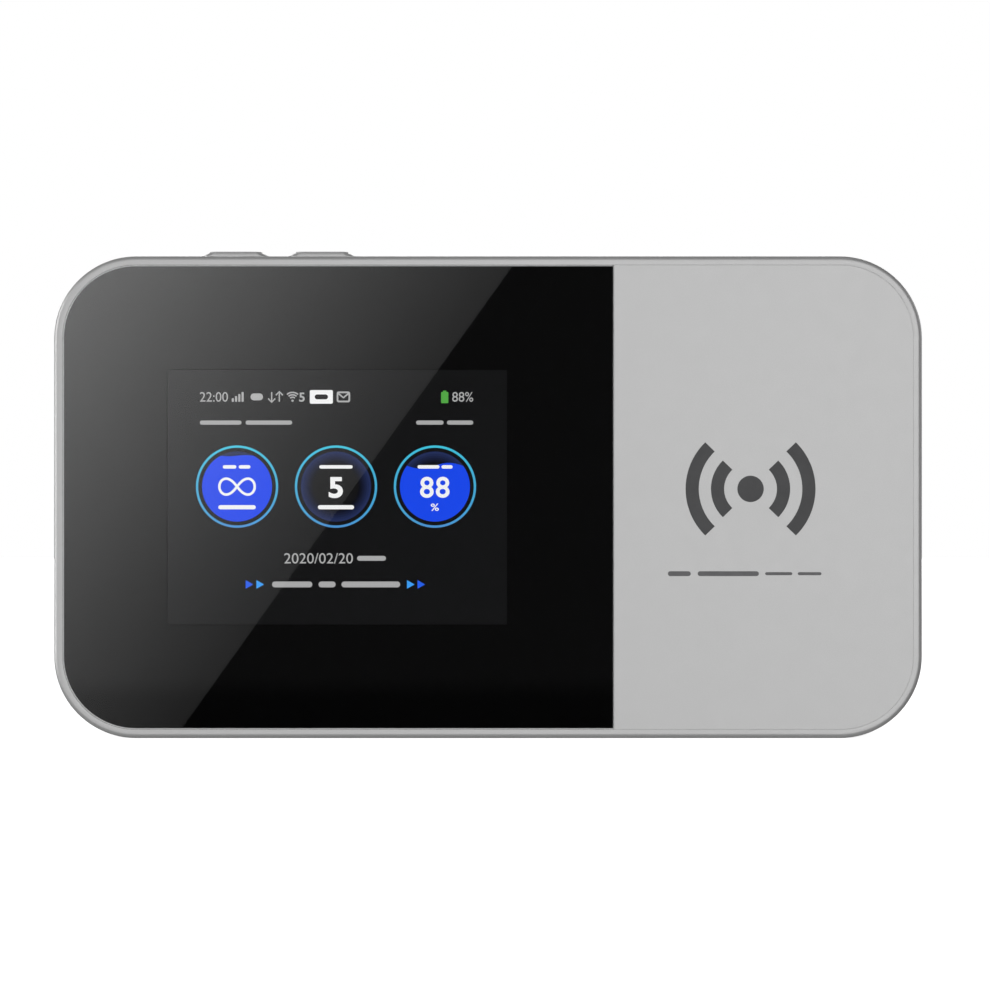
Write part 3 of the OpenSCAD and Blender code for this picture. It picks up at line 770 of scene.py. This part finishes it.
def dial_fills():
    bm = bmesh.new()
    filled_disc(bm, DIALS[0], 4.45, 0.08)
    filled_disc(bm, DIALS[2], 3.0, 0.42)
    thin_piece("dial_fills", bm, lit("fill_look", (0.008, 0.065, 0.86), 1.0))


def infinity_sign(bm, u, v):
    """Endless loop as two strokes that cross on separate layers"""
    half, steps = 2.55, 40
    for start, layer in ((0, SYMBOL), (math.pi, SYMBOL_UNDER)):
        points = []
        for k in range(steps + 1):
            t = start + math.pi * k / steps
            spread = 1 + math.sin(t) ** 2
            points.append((u + half * math.cos(t) / spread,
                           v + 1.27 * half * math.sin(t) * math.cos(t) / spread))
        stroke(bm, points, 0.36, layer)


def dial_symbols(bm):
    """What the three dials show: no limit, five devices, and the battery's charge"""
    left, mid, right = (VIEW_U + centre for centre in DIALS)
    infinity_sign(bm, left, DIAL_V)
    numerals(bm, "5", (mid - 1.05, mid + 1.0, DIAL_V - 1.66, DIAL_V + 1.38), SYMBOL, 0.03)
    numerals(bm, "88", (right - 2.15, right + 2.1, DIAL_V - 1.62, DIAL_V + 1.42), SYMBOL, 0.015, 1.08)
    numerals(bm, "%", (right - 0.6, right + 0.57, DIAL_V - 3.5, DIAL_V - 2.44), SYMBOL, 0.01)


def dial_labels(bm):
    """Plain bars in place of the dials' small words"""
    words = (
        (0, 2.84, 0.25, ((-2.05, -0.1), (0.25, 1.93))),
        (1, 2.84, 0.25, ((-2.4, 2.4),)),
        (2, 2.84, 0.25, ((-2.5, 0.65), (0.95, 2.55))),
        (0, -2.97, 0.3, ((-2.7, 2.7),)),
        (1, -2.97, 0.3, ((-2.6, 2.6),)),
    )
    for dial, level, half, runs in words:
        for start, end in runs:
            u = VIEW_U + DIALS[dial]
            bar(bm, u + start, u + end, DIAL_V + level - half, DIAL_V + level + half, SYMBOL)


def signal_bars(bm, u, v):
    for k in range(4):
        bar(bm, u + 0.47 * k, u + 0.47 * k + 0.3, v, v + 0.5 + 0.3 * k, SYMBOL, 0.05)


def arrow(bm, u, v, facing):
    """Upright arrow with its tip up for 1, down for -1"""
    bar(bm, u - 0.09, u + 0.09, v - 0.7, v + 0.7, SYMBOL, 0.05)
    tip = v + 0.78 * facing
    stroke(bm, [(u - 0.5, tip - 0.55 * facing), (u, tip), (u + 0.5, tip - 0.55 * facing)],
           0.2, SYMBOL_UNDER)


def wireless_fan(bm, u, v):
    """Fan of arcs over a dot"""
    plate(bm, disc((u, v), 0.17, 16), SYMBOL)
    for r in (0.5, 0.85, 1.2):
        stroke(bm, arc(u, v, r, 48, 132, 12), 0.2, SYMBOL)


def envelope(bm, u, v):
    half_a, half_b, line = 0.97, 0.78, 0.24
    outer = around(u, v, rounded(half_a, half_b, [0.3] * 4, 6))
    inner = around(u, v, rounded(half_a - line, half_b - line, [0.12] * 4, 6))
    hoop(bm, outer, inner, SYMBOL)
    stroke(bm, [(u - 0.85, v + 0.6), (u, v - 0.12), (u + 0.85, v + 0.6)], line, SYMBOL_UNDER)


def status_row(bm):
    """Top row: time, signal, a plain bar, traffic, wireless devices, an envelope and charge"""
    v, cap = 14.45, 0.7
    numerals(bm, "22:00", (VIEW_U - 19.8, VIEW_U - 15.75, v - cap, v + cap), SYMBOL)
    signal_bars(bm, VIEW_U - 15.2, v - cap)
    bar(bm, VIEW_U - 12.5, VIEW_U - 10.7, v - 0.5, v + 0.5, SYMBOL)
    arrow(bm, VIEW_U - 9.45, v, -1)
    arrow(bm, VIEW_U - 8.35, v, 1)
    wireless_fan(bm, VIEW_U - 6.45, v - 0.55)
    numerals(bm, "5", (VIEW_U - 5.5, VIEW_U - 4.7, v - cap, v + 0.62), SYMBOL, 0.02)
    envelope(bm, VIEW_U + 0.88, v)
    numerals(bm, "88%", (VIEW_U + 16.55, VIEW_U + 19.57, v - cap, v + cap), SYMBOL)


def badge(bm):
    """White box with a plain bar cut out of it"""
    u, v = VIEW_U - 2.3, 14.45
    outer = around(u, v, rounded(1.66, 0.98, [0.2] * 4, 6))
    inner = around(u, v, rounded(0.95, 0.35, [0.34] * 4, 6))
    hoop(bm, outer, inner, SYMBOL)


def charge_icon():
    """Small green cell"""
    u, v = VIEW_U + 15.47, 14.4
    bm = bmesh.new()
    bar(bm, u - 0.52, u + 0.52, v - 0.85, v + 0.75, SYMBOL, 0.12)
    bar(bm, u - 0.24, u + 0.24, v + 0.7, v + 0.95, SYMBOL_UNDER, 0.08)
    thin_piece("charge_icon", bm, lit("green_look", (0.1, 0.45, 0.07), 0.9))


def date_row(bm):
    numerals(bm, "2020/02/20", (VIEW_U - 7.65, VIEW_U + 2.25, -9.55, -8.05), SYMBOL)


def plain_words():
    """Plain bars in place of words, dimmer than the figures"""
    rows = (
        (10.75, 0.3, ((-19.8, -13.8), (-13.2, -6.5), (11.35, 15.3), (15.8, 19.57))),
        (-8.8, 0.35, ((2.85, 7.0),)),
        (-12.56, 0.42, ((-9.4, -3.6), (-2.7, -0.25), (0.6, 9.05))),
    )
    bm = bmesh.new()
    for v, half, runs in rows:
        for start, end in runs:
            bar(bm, VIEW_U + start, VIEW_U + end, v - half, v + half, SYMBOL)
    thin_piece("plain_words", bm, lit("word_look", WHITE, 0.42))


def slide_arrows():
    """Pairs of triangles on both sides of the lowest line"""
    colours = {"deep": (0.02, 0.12, 0.85), "pale": (0.05, 0.36, 0.95)}
    places = {"deep": (-13.2, 11.55), "pale": (-11.65, 10.03)}
    for tone, starts in places.items():
        bm = bmesh.new()
        for start in starts:
            u, v = VIEW_U + start, -12.56
            plate(bm, [(u, v - 0.62), (u + 1.1, v), (u, v + 0.62)], SYMBOL)
        thin_piece(f"slide_arrows_{tone}", bm, lit(f"arrow_look_{tone}", colours[tone], 1.0))


def display():
    screen_face()
    dial_rings()
    dial_glow()
    dial_fills()
    bm = bmesh.new()
    dial_symbols(bm)
    dial_labels(bm)
    badge(bm)
    thin_piece("dial_symbols", bm, lit("symbol_look", WHITE, 0.95))
    bm = bmesh.new()
    status_row(bm)
    date_row(bm)
    thin_piece("status_symbols", bm, lit("status_look", WHITE, 0.45))
    charge_icon()
    plain_words()
    slide_arrows()


# ---- Back cover ----

HOOK_HALF_L = 3.5
LONG_WALL_HOOKS = (-40, -18, 13, 42)
SHORT_WALL_HOOKS = (-13, 13)

# Section of a hook, as (inset from the wall's outside, depth)
HOOK_SECTION = (
    (2.2, 7.4), (1.85, 7.4), (1.65, 7.6), (1.65, 7.85), (1.56, 8.0), (1.56, 8.4),
    (1.65, 8.55), (1.65, 9.95), (1.4, 9.95), (1.4, 13.4), (2.35, 14.1), (2.35, 7.55),
)

# Sections of the nail notch, as (level outside the wall, length)
NOTCH_SECTIONS = ((-0.68, 8.4), (-0.5, 9.2), (0.2, 10.0), (1.0, 10.4))
NOTCH_HALF_H = 0.9
NOTCH_CORNER = 0.6


def hooks():
    """Hooks inside the cover's walls"""
    ends = (-HOOK_HALF_L, HOOK_HALF_L)
    bm = bmesh.new()
    for side in (-1, 1):
        for u in LONG_WALL_HOOKS:
            loft(bm, [[at(u + end, side * (HALF_W - inset), d) for inset, d in HOOK_SECTION]
                      for end in ends])
        for v in SHORT_WALL_HOOKS:
            loft(bm, [[at(side * (HALF_L - inset), v + end, d) for inset, d in HOOK_SECTION]
                      for end in ends])
    return finish_mesh("hooks", bm)


def nail_notch():
    """Cutter for the scoop in the seam at the panel's end"""
    seam = back_depth() - COVER_DEPTH
    rings = []
    for level, l in NOTCH_SECTIONS:
        outline = rounded(l / 2, NOTCH_HALF_H, [NOTCH_CORNER] * 4, 8)
        rings.append([at(HALF_L + level, a, b) for a, b in around(0, seam, outline)])
    bm = bmesh.new()
    loft(bm, rings)
    return finish_mesh("notch", bm)


def back_cover():
    """Tray with a rounded edge, the same thickness all round"""
    back = back_depth()
    seam, inside = back - COVER_DEPTH, back - COVER_FLOOR
    corner = back - BACK_ROUND
    outer = [(BACK_ROUND, back)] + arc(BACK_ROUND, corner, BACK_ROUND, 90, 180, 14)[1:]
    lip = arc(SEAM_ROUND, seam + SEAM_ROUND, SEAM_ROUND, 180, 270, 5)
    lap = [(LAP_IN + LAP_GAP, seam), (LAP_IN + LAP_GAP, seam - LAP_L), (WALL, seam - LAP_L)]
    inner = lap + arc(WALL + FLOOR_ROUND, inside - FLOOR_ROUND, FLOOR_ROUND, 180, 90)
    bm = bmesh.new()
    loft(bm, [body_ring(inset, d) for inset, d in outer + lip + inner])
    made = finish_mesh("cover_shell", bm)
    combine(made, hooks(), "UNION")
    combine(made, nail_notch(), "DIFFERENCE")
    adopt(made, "back_cover", "cover_paint", replaces=["back_cover"])


# ---- Buttons, battery and port ----

STEM = (1.2, 1.2)
FLANGE = (BUTTON_L + 2, BUTTON_H + 1.2)
BUTTON_TOP = (7.8, 2.7)
BUTTON_ROUND = 0.14
STEM_LEVEL, FLANGE_LEVEL, BASE_LEVEL, SHOULDER_LEVEL = -2.7, -2.3, -1.6, 0.24
WRAP_ROUND = 0.5
WRAP_CORNER = 1.0


def button_sections(proud):
    """Sections (length, height, level) of an edge button, from its stem to its top"""
    base = (BUTTON_L, BUTTON_H)
    sections = [(*STEM, STEM_LEVEL), (*STEM, FLANGE_LEVEL), (*FLANGE, FLANGE_LEVEL),
                (*FLANGE, BASE_LEVEL), (*base, BASE_LEVEL), (*base, SHOULDER_LEVEL)]
    l, h = BUTTON_TOP
    edge = arc(-BUTTON_ROUND, proud - BUTTON_ROUND, BUTTON_ROUND, 0, 90, 5)
    return sections + [(l + 2 * a, h + 2 * a, level) for a, level in edge]


def edge_button(node):
    """Long button with a shoulder, sloped ends and a guide flange inside the wall"""
    proud = (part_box(node)[1].z - FRAME_HIGH.z) / MM
    bm = bmesh.new()
    loft(bm, [button_ring(node, *section) for section in button_sections(proud)])
    adopt(finish_mesh(f"{node}_cap", bm), node, "button_paint", replaces=[node])


def battery_pack():
    """Wrapped cell with rounded edges"""
    (u0, u1), (v0, v1), (d0, d1) = span("battery_pack")
    half_v, half_d = (v1 - v0) / 2, (d1 - d0) / 2
    edge = arc(WRAP_ROUND, WRAP_ROUND, WRAP_ROUND, 180, 270, 5)
    rings = []
    for along, inset in edge + [(u1 - u0, 0.0)]:
        section = rounded(half_v - inset, half_d - inset, [WRAP_CORNER] * 4, 8)
        rings.append([at(u0 + along, a, b) for a, b in around(0, middle((d0, d1)), section)])
    bm = bmesh.new()
    loft(bm, rings)
    adopt(finish_mesh("battery_wrap", bm), "battery", "battery_wrap", replaces=["battery_pack"])


def battery_label():
    """Generic print on the wrap: a band at one end, and a thick bar over plain lines"""
    (u0, u1), (v0, v1), (_, back) = span("battery_pack")
    layer = (back, back + 0.015)
    left, first_line = u0 + 8, v1 - 11.7
    pitch, line, longest = 3.2, 0.8, 36
    bm = bmesh.new()
    bar(bm, u1 - 9, u1 - 1, v0 + 2.5, v1 - 2.5, layer, 0.6)
    for k in range(9):
        top = first_line - pitch * k
        bar(bm, left, left + longest - 5 * (k % 3), top - line, top, layer)
    bar(bm, left, left + 22, v1 - 8.6, v1 - 6, layer, 0.5)
    look = film("wrap_ink_look", (0.05, 0.055, 0.06), 0.45)
    thin_piece("battery_print", bm, look, "battery_wrap", "battery")


def port_contacts():
    """Gold strips on both faces of the port's tongue"""
    (tip, _), v_span, (d0, d1) = span("port_tongue")
    pitch, half, count = 0.5, 0.14, 12
    proud, sunk = 0.02, 0.01
    bm = bmesh.new()
    for layer in ((d0 - proud, d0 + sunk), (d1 - sunk, d1 + proud)):
        for k in range(count):
            v = middle(v_span) + (k - (count - 1) / 2) * pitch
            bar(bm, tip + 0.35, tip + 3.6, v - half, v + half, layer, 0.05)
    adopt(finish_mesh("tongue_contacts", bm), "housing", "contact_gold")


# ---- CAD nodes that stay ----

BEVEL_W = 0.06
BEVEL_SHARE = 0.2
BEVEL_ANGLE = math.radians(40)
WELD_DISTANCE = 1e-7  # metres


def dress_cad_nodes():
    """Gives every shown CAD node its slot's look, and a small bevel along its edges"""
    for name, node in frame["nodes"].items():
        if node.hide_render:
            continue
        slot = node.data.materials[0].name.split(".")[0]
        node.data.materials[0] = LOOKS[slot]
        weld = node.modifiers.new("weld", "WELD")
        weld.merge_threshold = WELD_DISTANCE
        bevel = node.modifiers.new("bevel", "BEVEL")
        thinnest = min(b - a for a, b in zip(*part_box(name)))
        bevel.width = min(BEVEL_W * MM, thinnest * BEVEL_SHARE)
        bevel.segments = 2
        bevel.limit_method = "ANGLE"
        bevel.angle_limit = BEVEL_ANGLE
        bevel.harden_normals = True


# ---- Stage, light and camera ----

CAMERA = Vector((1.01, -541.9, 35.02)) * MM
LENS = 135
SENSOR_W = 36
FLOOR_HALF = 1.5  # metres

# How bright the glass mirrors a light of strength 1
GLASS_SHINE = 0.076

# A level on the screen's scale becomes light as ((level + offset) / scale) ** power
LEVEL_OFFSET, LEVEL_SCALE, LEVEL_POWER = 14, 269, 2.4

# Where the mirrored light starts and ends its drop towards the lower edge
DROP_START, DROP_END = -25.5, -29.5


def stage_plane(name, corners, mat):
    """Flat sheet of the studio"""
    bm = bmesh.new()
    bm.faces.new([bm.verts.new(corner) for corner in corners])
    made = finish_mesh(name, bm)
    made.data.materials.append(mat)
    return made


def floor():
    mat = surface("floor_look", (0.86, 0.86, 0.86), 0.8, Specular_IOR_Level=0.1)
    glow(mat, WHITE, 0.82)
    vary_colour(mat, noise(mat, 3), (0.85, 0.85, 0.85), (0.87, 0.87, 0.87))
    corners = [(a * FLOOR_HALF, b * FLOOR_HALF, 0) for a, b in ((-1, -1), (1, -1), (1, 1), (-1, 1))]
    made = stage_plane("floor", corners, mat)
    made.visible_glossy = False
    made.visible_diffuse = False
    made.visible_transmission = False
    made.visible_shadow = False


def mirrored(u, v, y):
    """Where the camera sees the glass's place (u, v) mirrored, in the plane at y"""
    seen = at(u, v, 0)
    reach = ((seen.y - CAMERA.y) + (seen.y - y)) / (seen.y - CAMERA.y)
    across = CAMERA + (seen - CAMERA) * reach
    return Vector((across.x, y, across.z))


def maths(tree):
    """A maker of math steps in a material's nodes, from numbers and other steps' outputs"""
    def calc(operation, *values):
        step = tree.nodes.new("ShaderNodeMath")
        step.operation = operation
        for socket, value in zip(step.inputs, values):
            if isinstance(value, (int, float)):
                socket.default_value = value
            else:
                tree.links.new(value, socket)
        return step.outputs[0]

    return calc


def screen_level(tree, calc, y, base, slope_u, slope_v, drop):
    """Level of a sheet at y: base in the mirrored middle of the device. It changes by the slopes
    for each millimetre mirrored, and drops towards the lower edge"""
    place = tree.nodes.new("ShaderNodeTexCoord")
    parts = tree.nodes.new("ShaderNodeSeparateXYZ")
    tree.links.new(place.outputs["Object"], parts.inputs["Vector"])
    centre, unit = mirrored(0, 0, y), mirrored(1, 1, y) - mirrored(0, 0, y)
    u = calc("DIVIDE", calc("SUBTRACT", parts.outputs["X"], centre.x), unit.x)
    v = calc("DIVIDE", calc("SUBTRACT", parts.outputs["Z"], centre.z), unit.z)
    level = calc("ADD", calc("MULTIPLY", u, slope_u), calc("MULTIPLY_ADD", v, slope_v, base))
    fall = tree.nodes.new("ShaderNodeMapRange")
    fall.interpolation_type = "SMOOTHSTEP"
    fall.inputs["From Min"].default_value = DROP_START
    fall.inputs["From Max"].default_value = DROP_END
    fall.inputs["To Max"].default_value = drop
    tree.links.new(v, fall.inputs["Value"])
    return calc("MAXIMUM", calc("SUBTRACT", level, fall.outputs["Result"]), 0)


def shine_in_glass(tree, strength):
    """Light that only polished glass mirrors. Every other ray passes through"""
    shine = tree.nodes.new("ShaderNodeEmission")
    clear = tree.nodes.new("ShaderNodeBsdfTransparent")
    ray = tree.nodes.new("ShaderNodeLightPath")
    mix = tree.nodes.new("ShaderNodeMixShader")
    out = tree.nodes.new("ShaderNodeOutputMaterial")
    tree.links.new(strength, shine.inputs["Strength"])
    tree.links.new(ray.outputs["Is Singular Ray"], mix.inputs["Fac"])
    tree.links.new(clear.outputs["BSDF"], mix.inputs[1])
    tree.links.new(shine.outputs["Emission"], mix.inputs[2])
    tree.links.new(mix.outputs["Shader"], out.inputs["Surface"])


def glow_sheet(name, corners, y, **levels):
    """Sheet at y for the glass to mirror over the (u, v) corners"""
    mat = bpy.data.materials.new(name + "_look")
    mat.use_nodes = True
    tree = mat.node_tree
    tree.nodes.clear()
    calc = maths(tree)
    level = screen_level(tree, calc, y, **levels)
    share = calc("DIVIDE", calc("ADD", level, LEVEL_OFFSET), LEVEL_SCALE)
    shine_in_glass(tree, calc("DIVIDE", calc("POWER", share, LEVEL_POWER), GLASS_SHINE))
    made = stage_plane(name, [mirrored(u, v, y) for u, v in corners], mat)
    made.visible_camera = False
    made.visible_diffuse = False
    made.visible_shadow = False


def reflections():
    """What the glass mirrors: a bright sheet with a slanted edge, over a dark one"""
    near, far = -0.70, -0.72
    top, foot = (3.47, 33.2), (-43.96, -33.1)
    slant = (top[0] - foot[0]) / (top[1] - foot[1])
    left, half = -75, 42
    low_edge, high_edge = (foot[0] + (v - foot[1]) * slant for v in (-half, half))
    bright = [(left, half), (left, -half), (low_edge, -half), (high_edge, half)]
    glow_sheet("bright_sheet", bright, near, base=15.6, slope_u=-1.12, slope_v=0.85, drop=7)
    dark = [(-120, 75), (-120, -70), (19, -70), (19, 75)]
    glow_sheet("dark_sheet", dark, far, base=9.5, slope_u=0, slope_v=0, drop=8)


def area_light(name, place, aim, width, height, power, glossy=True):
    """Rectangular light, in metres and watts. Without glossy, no polished surface mirrors it"""
    data = bpy.data.lights.new(name, "AREA")
    data.shape = "RECTANGLE"
    data.size, data.size_y, data.energy = width, height, power
    made = bpy.data.objects.new(name, data)
    bpy.context.scene.collection.objects.link(made)
    made.location = place
    made.rotation_euler = (Vector(aim) - Vector(place)).to_track_quat("-Z", "Y").to_euler()
    made.visible_glossy = glossy
    made.visible_transmission = glossy


def lights():
    middle_of_device = at(0, 0, 0)
    area_light("front_key", (0.35, -1.3, 0.15), middle_of_device, 0.9, 0.7, 1.4)
    area_light("front_fill", (-0.3, -1.5, 0.24), middle_of_device, 3.4, 2.0, 13)
    area_light("left_fill", (-1.2, -0.3, 0.2), middle_of_device, 0.4, 0.9, 4.4)
    area_light("low_fill", (0.1, -0.35, -1.0), middle_of_device, 1.2, 0.6, 2.8, glossy=False)
    area_light("top_fill", (0.0, -0.2, 1.3), middle_of_device, 1.0, 0.8, 3, glossy=False)
    area_light("rear_key", (-0.3, 1.7, 0.35), middle_of_device, 2.2, 1.2, 20)
    area_light("right_fill", (1.3, 0.45, 0.4), middle_of_device, 0.7, 0.9, 1.3)


def world():
    """White to the camera, soft grey to everything else"""
    made = bpy.data.worlds.new("studio")
    bpy.context.scene.world = made
    made.use_nodes = True
    tree = made.node_tree
    tree.nodes.clear()
    ray = tree.nodes.new("ShaderNodeLightPath")
    room, backdrop = (tree.nodes.new("ShaderNodeBackground") for _ in range(2))
    room.inputs["Color"].default_value = (0.12, 0.12, 0.12, 1)
    backdrop.inputs["Color"].default_value = (1, 1, 1, 1)
    mix = tree.nodes.new("ShaderNodeMixShader")
    out = tree.nodes.new("ShaderNodeOutputWorld")
    tree.links.new(ray.outputs["Is Camera Ray"], mix.inputs["Fac"])
    tree.links.new(room.outputs["Background"], mix.inputs[1])
    tree.links.new(backdrop.outputs["Background"], mix.inputs[2])
    tree.links.new(mix.outputs["Shader"], out.inputs["Surface"])


def camera():
    data = bpy.data.cameras.new("camera")
    data.lens = LENS
    data.sensor_width = SENSOR_W
    data.clip_start = 0.01
    made = bpy.data.objects.new("camera", data)
    bpy.context.scene.collection.objects.link(made)
    made.location = CAMERA
    made.rotation_euler = (math.pi / 2, 0, 0)
    bpy.context.scene.camera = made
    bpy.context.scene.view_settings.view_transform = "Standard"


camera()
world()
lights()
floor()
reflections()

front_frame()
cover_glass()
ink_mask()
window_line()
front_panel()
panel_print()
display()
back_cover()
for button in BUTTONS:
    edge_button(button)
battery_pack()
battery_label()
port_contacts()
dress_cad_nodes()
